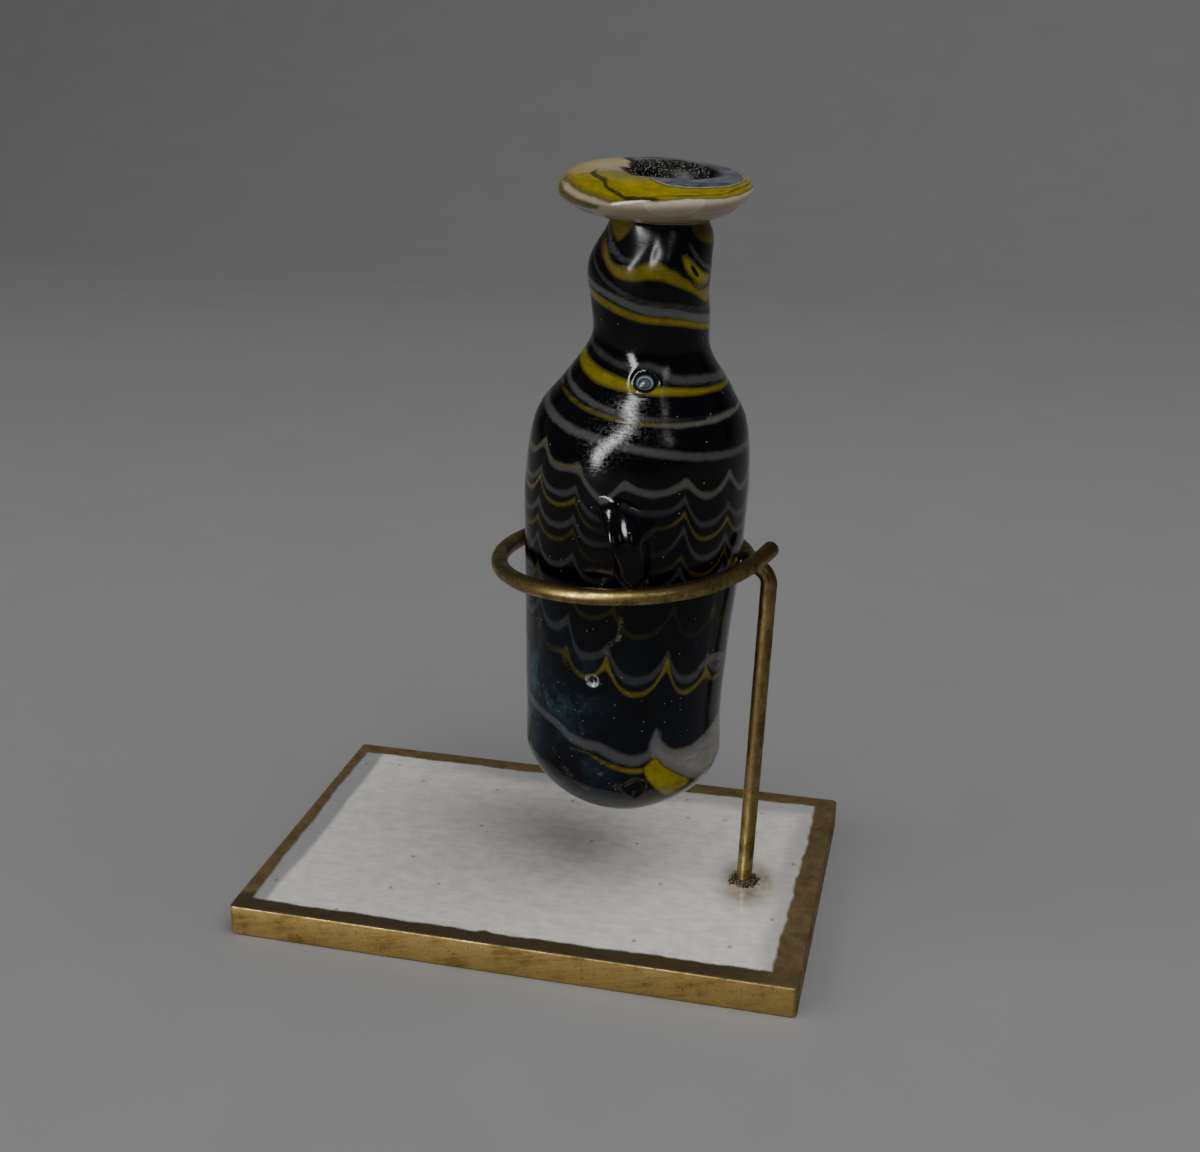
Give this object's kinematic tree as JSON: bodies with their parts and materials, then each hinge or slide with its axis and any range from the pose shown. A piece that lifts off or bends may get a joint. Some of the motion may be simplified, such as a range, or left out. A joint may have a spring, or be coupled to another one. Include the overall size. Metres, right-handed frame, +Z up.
{
  "type": "glass alabastron on a wire stand",
  "caption": "Small core-formed glass perfume bottle with round base, flat rim and two lugs, hanging in a bent brass wire ring on a brass plate.",
  "frame": {"origin": "middle of the base plate's underside", "axes": "+Z up, +X along the plate's long edge, -Y towards the front, where the free end of the wire passes"},
  "size_m": [0.086, 0.0546, 0.1135],
  "materials": {
    "core_formed_glass": "glossy dark blue glass, nearly opaque, with yellow, grey and white threads combed into festoons",
    "aged_brass_wire": "drawn brass wire with a worn brown patina",
    "brass_plate": "polished brass plate with filed edges"
  },
  "bodies": {
    "root": {"bottle": "core_formed_glass", "wire_stand": "aged_brass_wire", "base_plate": "brass_plate"}
  },
  "joints": []
}
